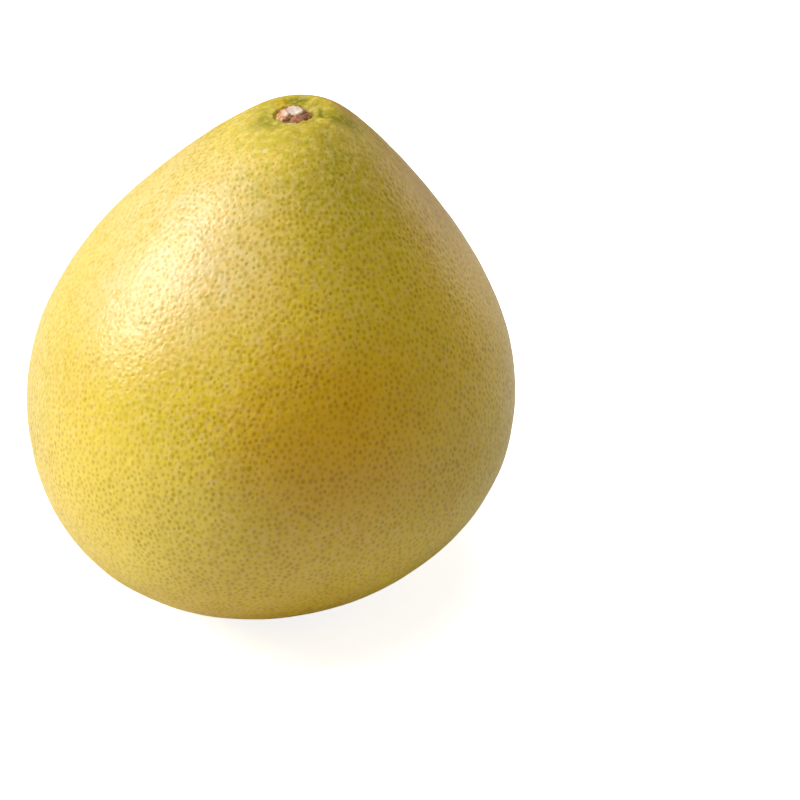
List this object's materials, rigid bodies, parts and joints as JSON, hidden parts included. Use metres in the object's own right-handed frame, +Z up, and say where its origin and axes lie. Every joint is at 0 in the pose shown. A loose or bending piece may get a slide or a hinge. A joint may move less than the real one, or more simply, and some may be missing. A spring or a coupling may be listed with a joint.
{
  "type": "pomelo",
  "caption": "Whole pear-shaped pomelo with a pored yellow-green rind, a puckered stem end and a woody stem button, standing on its blossom end.",
  "frame": {"origin": "on the ground under the middle of the fruit's bounding box, level with its flat resting spot", "axes": "+Z up from the blossom end to the stem end; +X to the right of the picture, the way the neck leans; +Y to the back, away from the camera"},
  "size_m": [0.1488, 0.1508, 0.1624],
  "materials": {
    "rind": "waxy citrus rind, satin, yellow with yellow-green and tan mottling and sunken olive oil glands",
    "calyx_bark": "dry brown bark, matt, with a paler crimped rim",
    "stem_wood": "pale torn wood, matt"
  },
  "bodies": {
    "root": {"fruit": "rind", "calyx": "calyx_bark", "stem_stub": "stem_wood"}
  },
  "joints": []
}
